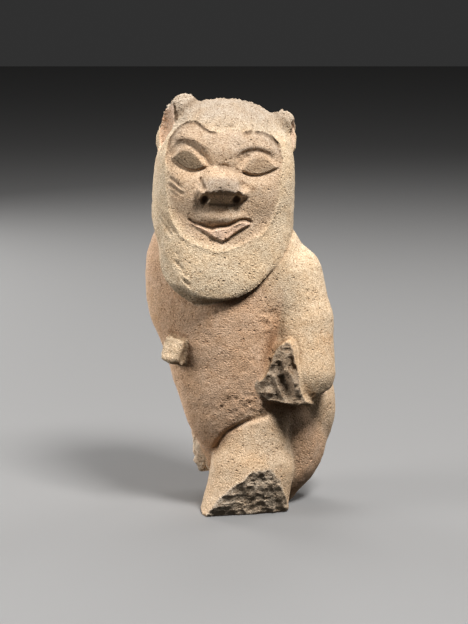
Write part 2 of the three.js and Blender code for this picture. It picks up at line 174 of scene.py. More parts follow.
def lerp(a, b, t):
    return a + (b - a) * t


def turned(x, y, turn):
    c, s = math.cos(math.radians(turn)), math.sin(math.radians(turn))
    return x * c - y * s, x * s + y * c


def along(table, at):
    """A smooth curve through the rows of a table, whose first column runs up or down."""
    rows = np.array(table, float)
    if rows[0, 0] > rows[-1, 0]:
        rows = rows[::-1]
    i = np.clip(np.searchsorted(rows[:, 0], at, side="right"), 1, len(rows) - 1)
    a, b, c, d = (rows[np.clip(i + k, 0, len(rows) - 1)].T for k in (-2, -1, 0, 1))
    t = np.clip((at - b[0]) / (c[0] - b[0]), 0, 1)
    return (b + 0.5 * t * (c - a + t * (2 * a - 5 * b + 4 * c - d + t * (3 * (b - c) + d - a))))[1:]


def scattered(cell, seed):
    """A number between 0 and 1 for each cell of a grid, the same on every run for each seed."""
    n = (cell[0] * 374761393 + cell[1] * 668265263 + cell[2] * 2147483647 + seed * 974634777) & 0xFFFFFFFF
    n = ((n ^ (n >> 13)) * 1274126177) & 0xFFFFFFFF
    n = ((n ^ (n >> 16)) * 2246822519) & 0xFFFFFFFF
    return (n ^ (n >> 15)) / 0xFFFFFFFF


def noise(p, size, seed):
    """Smooth noise between -1 and 1 with lumps of that size."""
    q = p / np.reshape(size, (-1, 1))
    cell = np.floor(q).astype(np.int64)
    t = q - cell
    t = t * t * (3 - 2 * t)
    total = 0
    for corner in np.ndindex(2, 2, 2):
        weight = np.prod([t[k] if corner[k] else 1 - t[k] for k in range(3)], axis=0)
        total = total + weight * scattered(cell + np.reshape(corner, (3, 1)), seed)
    return 2 * total - 1


def layered(p, size, layers, seed):
    return sum(noise(p, size / 2**k, seed + k) / 2**k for k in range(layers))


def ledges(p, grades):
    """How far broken stone is cut back, by noises of several sizes."""
    return sum(height * np.abs(noise(p, size, seed)) for size, height, seed in grades)


def pitted(p, size, seed, share):
    """Round pits scattered through the stone: 1 at the middle of a pit, 0 outside."""
    q = p / size
    cell = np.floor(q).astype(np.int64)
    deepest = np.zeros(q.shape[1])
    for corner in np.ndindex(3, 3, 3):
        c = cell + np.reshape(corner, (3, 1)) - 1
        middle = c + 0.25 + 0.5 * np.array([scattered(c, seed + k) for k in range(3)])
        radius = np.where(scattered(c, seed + 3) < share, 0.15 + 0.2 * scattered(c, seed + 4), 0.01)
        away = ((q - middle) ** 2).sum(0) / radius**2
        deepest = np.maximum(deepest, 1 - away)
    return deepest


# Forms: negative inside, close to a distance near the surface
def blend(a, b, width):
    """Joins two forms with a fillet."""
    h = np.maximum(width - np.abs(a - b), 0)
    return np.minimum(a, b) - h * h / (4 * width)


def cut(a, b, width):
    """What two forms have in common, with a rounded edge."""
    return -blend(-a, -b, width)


def ellipsoid(p, middle, half, turn=0):
    x, y = turned(p[0] - middle[0], p[1] - middle[1], turn)
    q = np.array([x, y, p[2] - middle[2]]) / np.reshape(half, (3, 1))
    near = np.sqrt((q**2).sum(0))
    steep = np.sqrt(((q / np.reshape(half, (3, 1))) ** 2).sum(0))
    return near * (near - 1) / np.maximum(steep, 1e-6)


def rod(p, a, b):
    a, b = np.array(a, float), np.array(b, float)
    run = b[:3] - a[:3]
    t = np.clip(((p - a[:3, None]) * run[:, None]).sum(0) / (run @ run), 0, 1)
    away = p - a[:3, None] - t * run[:, None]
    return np.sqrt((away**2).sum(0)) - lerp(a[3], b[3], t)


def limb(p, stations):
    form = rod(p, *stations[:2])
    for pair in zip(stations[1:], stations[2:]):
        form = blend(form, rod(p, *pair), LIMB_BLEND)
    return form


def block(p, middle, half, turns, roundness):
    """A rounded block, turned, tilted and leaning back by the three turns."""
    x, y = turned(p[0] - middle[0], p[1] - middle[1], turns[0])
    x, z = turned(x, p[2] - middle[2], turns[1])
    y, z = turned(y, z, turns[2])
    q = np.abs(np.array([x, y, z])) - np.reshape(half, (3, 1)) + roundness
    return np.sqrt((np.maximum(q, 0) ** 2).sum(0)) + np.minimum(q.max(0), 0) - roundness


def outline(x, z, places):
    """Distance to a closed line of places, negative inside it."""
    nearest, inside = np.full(x.shape, 1e9), np.zeros(x.shape, bool)
    for (x0, z0), (x1, z1) in zip(places, places[1:] + places[:1]):
        run = np.array([x1 - x0, z1 - z0])
        t = np.clip(((x - x0) * run[0] + (z - z0) * run[1]) / (run @ run), 0, 1)
        nearest = np.minimum(nearest, (x - x0 - t * run[0]) ** 2 + (z - z0 - t * run[1]) ** 2)
        crossed = ((z0 > z) != (z1 > z)) & (x < x0 + (z - z0) * run[0] / (run[1] or 1e-9))
        inside ^= crossed
    return np.where(inside, -1, 1) * np.sqrt(nearest)


def curved(places, steps=4):
    """A smooth closed line through the places."""
    a = np.array(places, float)
    before, after, last = np.roll(a, 1, 0), np.roll(a, -1, 0), np.roll(a, -2, 0)
    t = np.arange(steps)[None, :, None] / steps
    a, b, c, d = (v[:, None] for v in (before, a, after, last))
    line = b + 0.5 * t * (c - a + t * (2 * a - 5 * b + 4 * c - d + t * (3 * (b - c) + d - a)))
    return [tuple(v) for v in line.reshape(-1, 2)]


def torso(p):
    x, y, side, front = along(TORSO, p[2])
    a, b = turned(p[0] - x, p[1] - y, BODY_TURN)
    ring = (np.abs(a / side) ** TORSO_POWER + np.abs(b / front) ** TORSO_POWER) ** (1 / TORSO_POWER)
    form = np.maximum((ring - 1) * np.minimum(side, front), p[2] - TORSO[0][0])
    belly, shoulder = ellipsoid(p, *BELLY), ellipsoid(p, *LEFT_SHOULDER)
    left_hip = ellipsoid(p, *LEFT_HIP, BODY_TURN) + HIP_INSET
    right_hip = ellipsoid(p, *RIGHT_HIP, BODY_TURN)
    for flesh in (belly, shoulder, left_hip, right_hip, limb(p, RIGHT_THIGH)):
        form = blend(form, flesh, FLESH_BLEND)
    return form


def scar_frame(p):
    """Across and up the forearm's break, and out from it."""
    n = np.array(FOREARM_BREAK[1]) / np.linalg.norm(FOREARM_BREAK[1])
    x, y, z = p - np.reshape(FOREARM_BREAK[0], (3, 1))
    flat = math.hypot(n[0], n[1])
    return (n[0] * y - n[1] * x) / flat, z, n[0] * x + n[1] * y + n[2] * z


def forearm(p):
    """What is left of the forearm, with the outline of its break."""
    across, up, out = scar_frame(p)
    widening = FOREARM_WIDENING * np.maximum(-out, 0)
    return np.maximum(outline(across, up, SCAR_LINE) - widening, -out - FOREARM_DEEP)


def arm(p):
    upper = cut(limb(p, LEFT_ARM), beyond(p, ELBOW_UNDER), SMALL_FILLET)
    return blend(upper, forearm(p), SMALL_FILLET)


def thigh(p):
    return blend(limb(p, LEFT_THIGH), ellipsoid(p, *LEFT_HIP, BODY_TURN), FLESH_BLEND)


def beyond(p, broken):
    """How far a place lies beyond a break, whose face is rough."""
    at, facing, rough = broken
    n = np.array(facing) / np.linalg.norm(facing)
    away = ((p - np.reshape(at, (3, 1))) * n[:, None]).sum(0)
    away = away + rough * (ledges(p, LEDGES) - LEDGE_MIDDLE)
    if broken is FOREARM_BREAK:
        across, up, _ = scar_frame(p)
        for out, width, places in SCAR_RIDGES:
            away = away - out * stroke(across, up, places, width)
        (mx, mz), radius, out = SCAR_BOSS
        away = away - out * dome(across - mx, up - mz, radius, radius)
    return away


SCAR_LINE = curved(SCAR, 2)


# The front of the head: places are x to the viewer's right and z up in the head's frame
FACE = (-0.9, 4.5, 13.4, 15.5, 2.3)  # middle x and z, half width, drop of the chin, roundness
FACE_SUNK = 0.7
HAIRLINE = [
    # x, height
    (-14.3, 8.8),
    (-13.4, 13),
    (-11.6, 15.6),
    (-9.1, 17.1),
    (-6.3, 16.8),
    (-3.4, 15.2),
    (-0.5, 15.7),
    (3.3, 15.6),
    (7, 15.6),
    (9.8, 14.6),
    (11.6, 12.8),
    (12.5, 9.3),
]
SWELLINGS = [
    # x, height, half width, half height, how far it stands out
    (-9.4, 1.6, 4.9, 5.8, 0.8),
    (8, 1.2, 5.2, 7, 0.6),
    (-0.8, 13.4, 11, 4, 0.7),
    (-1.2, 10.2, 4.4, 3.4, 0.9),
    (-1.6, -3.8, 7.2, 2.4, 1.2),
    (-6.5, 1.6, 1.4, 1.5, 1.1),
    (3.7, 1.9, 1.4, 1.5, 1.3),
    (-9.5, 14.2, 4, 2, 0.3),
]
EYES = [
    # middle, half length, slant in degrees, then height and lean of the upper half and of the lower one
    (-9.15, 8.2, 3.8, -9, 2.5, -0.45, 1.5, 0.3),
    (7.2, 7.3, 4.1, 4.9, 2.8, -0.25, 1.15, -0.35),
]
SOCKETS = [
    # x, height, half width, half height, depth
    (-9.2, 8.7, 5.6, 4.6, 1),
    (7, 7.9, 5.8, 4.4, 0.9),
]
HAIRLINE_CRUMBS = (0.9, 0.4, 3.2)  # how far they reach, middle x, half width
CRUMB_NOISE = (0.7, 21)  # size and seed, as for the other noises
SKIN_EDGE = (0.4, 1.6)  # how far inside the face's outline the step down to it ends, at the top and below
SUNK_SHARES = (0.5, 0.8)  # how much of the face's depth it has, below and at the top
EYEBALL = (0.6, 0.3)  # height of its rim and of its middle above that
LID = (0.6, 0.38)  # height and half width of the lid round it
LID_SHADE = (0.35, 0.34)  # depth and half width of the groove below it
LID_OUTSIDE = 0.3  # how far outside the ball both run
LID_GROOVE_SHADE = 0.35  # how dark the painted shade in the groove is
NOSE_X = -1.6
NOSE_EDGE = (0.35, 2)  # how ragged its lower edge is, and at what height
NOSE_EDGE_NOISE = (0.7, 22)
NOSE_BLUNT = 0.7  # less makes the nose flatter in front
NOSE = [
    # height, how far it stands out, half width, squareness across
    (8, 0, 2.7, 2),
    (7.3, 1, 3.2, 2),
    (6.5, 2.3, 3.8, 2),
    (5.7, 3.3, 4.2, 2.1),
    (5, 3.8, 4.5, 2.2),
    (4.2, 3.95, 4.9, 2.5),
    (3.4, 3.95, 5.2, 2.8),
    (2.8, 3.9, 5.5, 3.2),
    (2.4, 3.7, 5.7, 3.6),
    (2.1, 3.2, 5.8, 4),
    (1.6, 2.5, 5.8, 4),
    (0.7, 1.6, 5.7, 4),
    (-0.3, 0.7, 5.3, 3.8),
    (-1, 0, 4.7, 3.2),
]
NOSTRILS = [(-5.3, 0.3, 0.8, 1.5), (1.9, 0.4, 0.8, 1.5)]  # x, height, radius, depth
NOSTRIL_SHAPE = 0.8  # width over height
LIP = 0.75  # how far a full lip stands out
LIP_ENDS = ((-9.2, -8), (5.2, 6.3))  # the lip fades between these places across
BEARD_EDGE_WEAR = 0.25
MOUTH = [
    # x, height of the opening, lower edge of the lip, how full the lip is
    (-9.2, -4.6, -4.8, 0.1),
    (-8.4, -4.9, -5.5, 0.3),
    (-7, -5.5, -6.4, 0.4),
    (-5.8, -5.8, -7.1, 0.5),
    (-4.5, -6.2, -7.8, 0.6),
    (-3.3, -6.5, -8.4, 0.8),
    (-2.3, -6.1, -8.8, 0.9),
    (-0.8, -5.8, -9.3, 1),
    (0.8, -5.4, -8.4, 1),
    (1.8, -4.9, -7.5, 1),
    (2.9, -4.5, -6.8, 1.1),
    (4.3, -4.3, -6, 1),
    (5.4, -4.7, -5.4, 0.7),
    (6.1, -5.1, -5.2, 0.1),
]
LINES = [
    # cut lines: depth, half width, how dark the painted shade in them is, then their places
    (0.5, 0.5, 0.25, [(-13.6, 9), (-12.8, 10.4), (-11.8, 12), (-10.7, 12.6), (-9.6, 12.5), (-8.4, 12),
                       (-7.1, 11), (-6, 10.1), (-5.1, 9.2), (-4.3, 8), (-4, 7.1)]),
    (0.4, 0.42, 0.25, [(1.6, 9.2), (2.4, 10.2), (4.2, 11.1), (5.9, 11.4), (7.4, 11.2), (9.3, 10.4),
                       (10.6, 9.3)]),
    (0.3, 0.36, 0.3, [(1.9, 8.5), (2.4, 9.3), (3.6, 10), (4.9, 10.4)]),
    (0.4, 0.45, 0.4, [(-2.9, 7.5), (-1.2, 7.7), (0.6, 7.3), (2.5, 6.5)]),
    (0.8, 0.36, 0.8, [(-6.4, 5.2), (-6.1, 4.1), (-5.7, 3.1), (-6.4, 2.7)]),
    (0.35, 0.34, 0.4, [(1.9, 4), (2.8, 4.3), (3.7, 3.7)]),
    (0.3, 0.35, 0.5, [(-7, 0.2), (-5.5, -0.7), (-3, -1.1), (-0.6, -1.2), (1.6, -0.9), (3.4, -0.3),
                      (4.4, 0.5)]),
    (0.7, 0.3, 0.8, [(-8.9, -4.4), (-7.9, -5.1), (-7, -5.5), (-5.8, -5.7), (-4.5, -6.1), (-3.2, -6.4),
                     (-2.3, -6), (-1.4, -5.8), (-0.2, -5.7), (0.8, -5.4), (1.8, -4.8), (2.9, -4.3),
                     (4.3, -4.2), (5.3, -4.6), (5.8, -5.2)]),
    (0.25, 0.55, 0.2, [(-8.2, -5.9), (-6, -7.1), (-4.2, -8), (-2.6, -9), (-0.8, -9.6)]),
    (0.2, 0.28, 0.3, [(-1.6, -9.3), (-0.8, -9.6), (0.5, -8.9), (1.9, -7.8), (3.8, -6.6), (5.5, -5.6)]),
    (0.15, 0.35, 0.15, [(1.2, -5.8), (0.7, -6.8), (-0.2, -7.8)]),
    (0.2, 0.4, 0.15, [(-3.1, -6.8), (-2.4, -7.8), (-1.4, -8.8)]),
    (0.5, 0.3, 0.6, [(-6.8, 2.2), (-7, 1.2), (-6.9, 0.2)]),
    (0.4, 0.36, 0.5, [(-13.4, 4.4), (-12, 3.6), (-10.4, 2.2)]),
    (0.4, 0.36, 0.5, [(-13.6, 3), (-12, 2.1), (-10, 0.9)]),
    (0.25, 0.42, 0.25, [(-13.2, 1.3), (-11.2, 0.3)]),
    (0.5, 0.24, 0.85, [(-8.4, 17.2), (-7.1, 16.6), (-6, 15.8), (-4.6, 15.1), (-2.6, 14.9)]),
    (0.3, 0.26, 0.55, [(-14, 10.5), (-13.1, 13.2), (-12, 15), (-10.5, 16.4), (-9, 16.9), (-8, 17)]),
    (0.45, 0.3, 0.75, [(2.9, 15.1), (4.3, 15.3), (5.6, 15.6)]),
    (0.3, 0.26, 0.55, [(5.7, 15.4), (7.8, 15.2), (9.3, 14.5), (10.7, 13.3), (12, 12)]),
    (0.4, 0.42, 0.2, [(-16, -2.4), (-13.6, -5.6), (-11.4, -8.4)]),
    (0.4, 0.42, 0.2, [(-15.4, -4.6), (-13.6, -7), (-12, -9)]),
    (0.2, 0.4, 0.1, [(-16.2, 0), (-14.6, -2.6)]),
    (0.4, 0.34, 0.25, [(-11.4, -12), (-9.7, -14.6)]),
    (0.4, 0.34, 0.25, [(-11.6, -14), (-10.4, -15.4), (-9.2, -16.4)]),
    (0.4, 0.34, 0.25, [(-10.6, -16.2), (-8.7, -17.8)]),
    (0.4, 0.34, 0.25, [(-9.6, -18.1), (-7.7, -19.8)]),
]
RIDGES = [
    # raised lines: height, half width, then their places
    (0.22, 0.4, [(-14.5, 10.5), (-14.5, 4.8), (-14.1, 1.4), (-13.2, -3.6), (-12.3, -5.6), (-10.3, -8.5),
                 (-8, -9.9)]),
    (0.2, 0.4, [(-8, -9.9), (-2.5, -11.5), (0.2, -11.3), (3.4, -9.8), (5.8, -8.5), (8.7, -7.2), (11, -3.7),
                 (12.3, 0.4)]),
    (0.35, 0.8, [(-12.6, 12.8), (-10.8, 14), (-9, 13.9), (-7, 12.8), (-5.2, 11.5)]),
    (0.25, 0.7, [(2, 11.4), (4.2, 12.5), (6, 12.8), (8, 12.4), (10, 11.4)]),
    (0.2, 0.4, [(-13.3, 3.7), (-12, 2.9), (-10.2, 1.6)]),
    (0.2, 0.45, [(-15.2, -3.4), (-13.4, -6.4), (-11.8, -8.8)]),
    (0.35, 0.3, [(-11, -12.6), (-9.5, -14.8)]),
    (0.35, 0.3, [(-10.2, -16.6), (-8.3, -18.4)]),
]
BEARD_EDGE = [
    # x and height along the beard's edge, then wide round the rest of the head
    (-17.2, -1), (-16.8, -5), (-15.8, -9.5), (-14.2, -13.3), (-12.4, -17), (-9.9, -20), (-7.5, -21.7),
    (-4.8, -22.7), (-1.5, -22.9), (1.4, -22.4), (4.4, -21.2), (7, -19.5), (9.7, -17.3), (12.5, -14.4),
    (14.5, -12), (15.9, -9.6), (16.8, -6.5), (26, 4), (26, 30), (-26, 30), (-26, 4),
]
BEARD_LINE = curved(BEARD_EDGE, 3)


def dome(dx, dz, rx, rz):
    """A low round swelling, 1 at its middle and 0 at its rim."""
    return np.maximum(0, 1 - (dx / rx) ** 2 - (dz / rz) ** 2) ** 1.5


def stroke(x, z, places, width):
    """A line's height across its width, 1 along it and fading out at both ends."""
    nearest, at, run = np.full(x.shape, 99.0), np.zeros(x.shape), 0.0
    for (x0, z0), (x1, z1) in zip(places, places[1:]):
        length = math.hypot(x1 - x0, z1 - z0)
        t = np.clip(((x - x0) * (x1 - x0) + (z - z0) * (z1 - z0)) / length**2, 0, 1)
        away = np.hypot(x - x0 - t * (x1 - x0), z - z0 - t * (z1 - z0))
        at = np.where(away < nearest, run + t * length, at)
        nearest = np.minimum(nearest, away)
        run += length
    ends = smooth(at, -0.2, 0.8) * (1 - smooth(at, run - 0.8, run + 0.2))
    return np.exp(-((nearest / width) ** 2)) * ends


def face_inside(x, z):
    """How far a place lies inside the outline of the face."""
    middle, height, half, drop, power = FACE
    low = np.minimum(z - height, 0)
    ring = (np.abs((x - middle) / half) ** power + np.abs(low / drop) ** power) ** (1 / power)
    reach, crumbs_x, crumbs_half = HAIRLINE_CRUMBS
    crumbs = reach * smooth(crumbs_half - np.abs(x - crumbs_x), 0, 1.2)
    crumbs = crumbs * noise(np.array([x, 0 * x, z]), *CRUMB_NOISE)
    hairline = along(HAIRLINE, np.clip(x, HAIRLINE[0][0], HAIRLINE[-1][0]))[0] + crumbs
    return np.minimum((1 - ring) * half, hairline - z)


def eye(x, z, eye_row):
    """Height of an eye with its lid, and masks of its pupil and of the groove below it."""
    mx, mz, half, slant, upper, upper_lean, lower, lower_lean = eye_row
    u, v = turned(x - mx, z - mz, -slant)
    u = u / half
    arch = 1 - u * u
    within = np.minimum(upper * (1 + upper_lean * u) * arch - v, lower * (1 + lower_lean * u) * arch + v)
    ends = 1 - smooth(np.abs(u), 0.95, 1.2)
    lid = np.exp(-(((within + LID_OUTSIDE) / LID[1]) ** 2)) * smooth(v, -0.5, 0.5) * ends
    under = np.exp(-(((within + LID_OUTSIDE) / LID_SHADE[1]) ** 2)) * (1 - smooth(v, -1, 0.2)) * ends
    height = EYEBALL[0] * smooth(within, -0.25, 0.4) + EYEBALL[1] * smooth(within, 0.2, 2)
    return height + LID[0] * lid - LID_SHADE[0] * under, smooth(within, -0.1, 0.3), under


def broad_carving(x, z):
    """Height of the sunk face with its cheeks, brow, sockets and nose, and a mask of the face."""
    inside = face_inside(x, z)
    skin = smooth(inside, -0.3, lerp(SKIN_EDGE[1], SKIN_EDGE[0], smooth(z, 5, 9)))
    height = -lerp(*SUNK_SHARES, smooth(z, 2, 10)) * FACE_SUNK * skin
    for mx, mz, rx, rz, out in SWELLINGS:
        height = height + out * dome(x - mx, z - mz, rx, rz) * skin
    for mx, mz, rx, rz, depth in SOCKETS:
        height = height - depth * dome(x - mx, z - mz, rx, rz) * skin
    ragged, at = NOSE_EDGE
    ragged_z = z + ragged * noise(np.array([x, 0 * x, 0 * z]), *NOSE_EDGE_NOISE) * np.exp(-((z - at) ** 2))
    out, half, square = along(NOSE, np.clip(ragged_z, NOSE[-1][0], NOSE[0][0]))
    return height + out * np.maximum(0, 1 - np.abs((x - NOSE_X) / half) ** square) ** NOSE_BLUNT, skin


def fine_carving(x, z):
    """Height of the finer carving, with masks of the painted shade in its grooves, of pupils and of lips."""
    height, pupils, dirt = np.zeros(x.shape), 0, 0
    # painted shade: the nostrils, the groove below each eye and the cut lines are darkened in colour
    for mx, mz, radius, depth in NOSTRILS:
        hole = smooth(radius - np.hypot(x - mx, NOSTRIL_SHAPE * (z - mz)), -0.3, 0.45)
        height, dirt = height - depth * hole, np.maximum(dirt, hole)
    for row in EYES:
        rise, flat, under = eye(x, z, row)
        height, pupils, dirt = height + rise, pupils + flat, np.maximum(dirt, LID_GROOVE_SHADE * under)
    opening, lowest, lip = along(MOUTH, np.clip(x, MOUTH[0][0], MOUTH[-1][0]))
    lips = (1 - smooth(z, opening - 0.5, opening + 0.2)) * smooth(z, lowest - 0.25, lowest + 0.45)
    lips = lips * smooth(x, *LIP_ENDS[0]) * (1 - smooth(x, *LIP_ENDS[1]))
    height = height + LIP * lip * lips
    for depth, width, dark, places in LINES:
        line = stroke(x, z, places, width)
        height, dirt = height - depth * line, np.maximum(dirt, dark * line**1.5)
    for out, width, places in RIDGES:
        height = height + out * stroke(x, z, places, width)
    height = height - BEARD_EDGE_WEAR * smooth(outline(x, z, BEARD_LINE), -1, 0)
    return height, dirt, pupils, lips


def head_frame(p):
    """Places in the head's own frame."""
    x, y = turned(p[0] - HEAD_AT[0], p[1] - HEAD_AT[1], HEAD_TURN)
    x, z = turned(x, p[2] - HEAD_AT[2], HEAD_ROLL)
    return np.array([x, y, z])


def ears(q):
    """Rims and sheets of both ears, and the hollows and slits cut into them."""
    solid, hollow = 99.0, 99.0
    for rim_foot, rim_tip, sheet_foot, sheet_tip, middle, half in EARS:
        ear = blend(rod(q, rim_foot, rim_tip), rod(q, sheet_foot, sheet_tip), EAR_BLEND)
        solid = np.minimum(solid, ear)
        hollow = np.minimum(hollow, ellipsoid(q, middle, half))
    slit = np.minimum(*(rod(q, *ends) for ends in EAR_SLITS))
    return solid, hollow, slit


def head(p):
    """The block of head, mane and beard with the face's large forms, and the ears."""
    q = head_frame(p)
    x, y, z = q
    carved = np.zeros(x.shape)
    front = (y < -FACE_FRONT[0]) & (np.abs(x) < FACE_REACH) & (z > FACE_LOWEST)
    carved[front] = broad_carving(x[front], z[front])[0]
    y = y + (carved + BEARD_JUT[0] * smooth(-z, *BEARD_JUT[1:])) * smooth(-y, *FACE_FRONT)
    up = z / np.where(z > 0, CROWN_RISE, BEARD_FRONT_REACH)
    ring = np.abs(x / HEAD_HALF[0]) ** HEAD_POWER + np.abs(y / HEAD_HALF[1]) ** HEAD_POWER
    mass = ((ring + np.abs(up) ** HEAD_POWER) ** (1 / HEAD_POWER) - 1) * HEAD_HALF[1]
    edge = np.full(x.shape, -9.0)
    low = z < 0
    edge[low] = outline(x[low], z[low], BEARD_LINE)
    under = sloped_under(q, BEARD_UNDERCUT, HEAD_HALF[1], BEARD_UNDER)
    slab = cut(cut(mass, edge, BEARD_ROUND), under, UNDER_ROUND)
    rim = edge - RIM_WIDTH * smooth(-z, *RIM_DROPS) * (1 - smooth(x, *RIM_END))
    slant = (BEARD_SLANT * np.maximum(edge, -1) - BEARD_FACE - q[1]) / math.hypot(1, BEARD_SLANT)
    rim = np.maximum.reduce([rim, slant, sloped_under(q, *RIM_UNDER), mass])
    solid, hollow, slit = ears(q)
    whole = blend(np.minimum(slab, rim), solid, EAR_FILLET)
    return cut(cut(whole, -hollow, HOLLOW_ROUND), -slit, SLIT_ROUND)


def sloped_under(q, slope, forward, drop):
    """A plane that cuts stone off below, rising towards the nape from its place in front."""
    return (slope * (q[1] + forward) - q[2] - drop) / math.hypot(1, slope)


def stump_lump(p):
    return ellipsoid(p, *STUMP_LUMP) + ledges(p, STUMP_LUMP_LEDGES) - STUMP_LUMP_SWELL


def knob(p):
    return block(p, *KNOB) + ledges(p, KNOB_LEDGES) + 0.2 * noise(p, *KNOB_RIPPLES) - KNOB_SWELL


def figure(p):
    """The whole stone, without its finer carving."""
    body = blend(cut(torso(p), beyond(p, STUMP_BREAK), STUMP_ROUND), stump_lump(p), SMALL_FILLET)
    body = blend(body, cut(arm(p), beyond(p, FOREARM_BREAK), BREAK_ROUND), ARM_FILLET)
    body = blend(body, cut(thigh(p), beyond(p, THIGH_BREAK), BREAK_ROUND), THIGH_FILLET)
    body = blend(body, knob(p), SMALL_FILLET)
    return np.maximum(blend(body, head(p), SMALL_FILLET), -p[2])


def settled(p, form, rounds, stride=0.4):
    """Places moved onto the surface of a form, by a stride at most in each round."""
    step = 0.02
    for _ in range(rounds):
        here = form(p)
        slope = np.array([form(p + step * axis[:, None]) - here for axis in np.eye(3)]) / step
        move = here * slope / np.maximum((slope**2).sum(0), 0.3)
        length = np.sqrt((move**2).sum(0))
        p = p - move * np.minimum(1, stride / np.maximum(length, 1e-9))
    return p


# The mesh: the solid's own surface in even small faces, finer where the carving is fine
MERGE_DISTANCE = 1e-6  # in metres
COARSE = 0.8
MOVES = [(6, 1), (2, 0.4)]  # rounds of moving onto the form and the longest stride, after each remesh
FACING_FRONT = 0.15  # faces that look less far back than this belong to the front
EAR_ZONE = (8, 4, 9)  # the ears lie outside this width, before this depth and above this height
BREAK_TOP = 45  # the breaks lie below this height
BUSY = 0.07  # a bend of the carving that calls for smaller faces
BREAK_REACH = 0.3  # corners this near to a break's face and to its limb lie on that face


def merged_copy(node, name):
    copy = bpy.data.objects.new(name, node.data.copy())
    bpy.context.scene.collection.objects.link(copy)
    b = bmesh.new()
    b.from_mesh(copy.data)
    bmesh.ops.remove_doubles(b, verts=b.verts, dist=MERGE_DISTANCE)
    b.to_mesh(copy.data)
    b.free()
    return copy


def made_even(piece, size):
    even = piece.modifiers.new("even", "REMESH")
    even.mode = "VOXEL"
    even.voxel_size = size
    mesh = bpy.data.meshes.new_from_object(piece.evaluated_get(bpy.context.evaluated_depsgraph_get()))
    piece.modifiers.clear()
    piece.data = mesh


def places_of(mesh):
    co = np.empty(3 * len(mesh.vertices))
    mesh.vertices.foreach_get("co", co)
    return co.reshape(-1, 3).T / PART


def facings_of(mesh):
    n = np.empty(3 * len(mesh.vertices))
    mesh.vertex_normals.foreach_get("vector", n)
    return n.reshape(-1, 3).T


def move_to(mesh, p):
    mesh.vertices.foreach_set("co", (p.T * PART).ravel())
    mesh.update()


def divided(mesh, chosen):
    """Splits the faces whose corners are all chosen into four."""
    b = bmesh.new()
    b.from_mesh(mesh)
    edges = [e for e in b.edges if chosen[e.verts[0].index] and chosen[e.verts[1].index]]
    bmesh.ops.subdivide_edges(b, edges=edges, cuts=1, use_grid_fill=True)
    b.to_mesh(mesh)
    b.free()


def near_breaks(p):
    near = np.zeros(p.shape[1], bool)
    for broken in (THIGH_BREAK, FOREARM_BREAK, STUMP_BREAK):
        near |= beyond(p, broken) > -1
    return near & (p[2] < BREAK_TOP) & (p[2] > -1)


def bends(form, x, z, reach=0.45):
    """How sharply the height turns near a place."""
    here = form(x, z)[0]
    turns = [form(x + a, z + b)[0] + form(x - a, z - b)[0] - 2 * here for a, b in ((reach, 0), (0, reach))]
    return np.abs(turns).max(0)


def on_front(q, depth, drop):
    """Whether a place of the head lies that far in front of its middle and above that drop."""
    return (q[1] < -depth) & (q[2] > -drop)


def on_view(mesh, p):
    """The corners on the front, the ears and the breaks."""
    q = head_frame(p)
    width, depth, height = EAR_ZONE
    facing_front = facings_of(mesh)[1] < FACING_FRONT
    ear_zone = (q[2] > height) & (np.abs(q[0]) > width) & (q[1] < depth)
    return on_front(q, 3, 26) | near_breaks(p) | ear_zone | facing_front


def finely_carved(p):
    """The corners beside sharp carving and on the faces of the two large breaks."""
    q = head_frame(p)
    fine = np.zeros(p.shape[1], bool)
    front = np.flatnonzero(on_front(q, 5, 22))
    x, z = q[0][front], q[2][front]
    fine[front] = np.maximum(bends(fine_carving, x, z), bends(broad_carving, x, z)) > BUSY
    for form, place in ((arm, FOREARM_BREAK), (thigh, THIGH_BREAK)):
        fine |= (np.abs(beyond(p, place)) < BREAK_REACH) & (form(p) < BREAK_REACH)
    return fine


def shaped(node, name):
    """A copy of the solid, moved onto the form of the figure, and the places of its corners."""
    piece = merged_copy(node, name)
    for rounds, stride in MOVES:
        made_even(piece, COARSE * PART)
        p = settled(places_of(piece.data), figure, rounds, stride)
        move_to(piece.data, p)
    divided(piece.data, on_view(piece.data, p))
    p = settled(places_of(piece.data), figure, 2)
    divided(piece.data, finely_carved(p))
    p = settled(places_of(piece.data), figure, 3)
    move_to(piece.data, p)
    return piece, p


stone, shaped_places = shaped(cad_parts["bes_figure"], "carved_stone")
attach(stone, "root")
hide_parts("bes_figure")

THIGH_CREASE = [(-6.5, 14.2), (-5.5, 16.6), (-3.7, 19.3), (-1.6, 20.9), (1.2, 22.4), (3.9, 23.3), (6.2, 24)]
CREASE = (0.8, 0.5)  # depth and half width
PATCHES = [
    # rough places of the skin: middle, half sizes, depth
    ((1, -10, 26.2), (8, 8, 4), 0.6),
    ((6, -9, 47), (3.5, 8, 5), 0.8),
    ((1.2, -10, 23.6), (2, 5, 0.9), 1),
    ((-9, 0, 22), (4, 6, 5), 0.5),
    ((-3.8, -12, 91.3), (3, 5, 1.7), 1),
]
STAINS = [
    # orange stains: middle, half sizes
    ((-19.5, 0, 48), (3, 8, 6)),
    ((-8.5, -2, 19.5), (2.5, 5, 3)),
    ((19, -8, 40), (3, 5, 4)),
    ((-9, -6, 30), (2.5, 5, 6)),
]
HEAD_LOWEST = -27  # in the head's frame
UNDER_NOSE = (5, 1.6, -1.2)  # half width, top and bottom of the place below the nose that is painted lighter, painted fill light
BREAK_HIGHEST = 42
BREAK_FAR = 0.6  # stone farther than this from the broken limb isn't broken
BREAK_SKIN = (-0.35, -0.05)  # the broken tone grows between these heights above a break's face
PAINTED_SHADE_REACHES = (1, 2.5, 5, 9)  # how far out from the surface the stone in front is measured, for the painted shade
NOSE_TIP = (3.6, 6, 3)  # height, half width, half height
LOCK_SPACING = 3
LOCK_DEPTH = 0.3
LOCK_WAVER = (7, 48)  # size and seed of a noise
STRAND_DEPTH = 0.4
STRAND_FINENESS = 1.6
STRAND_NOISE = (1, 49)
STRAND_SWEEP = (5.4, 4, 15.5)  # degrees for each part across, and where across and up they start
WEAR = (0.16, 0.14, 0.05)  # mean depth, and depth of its large waves and of its small ones
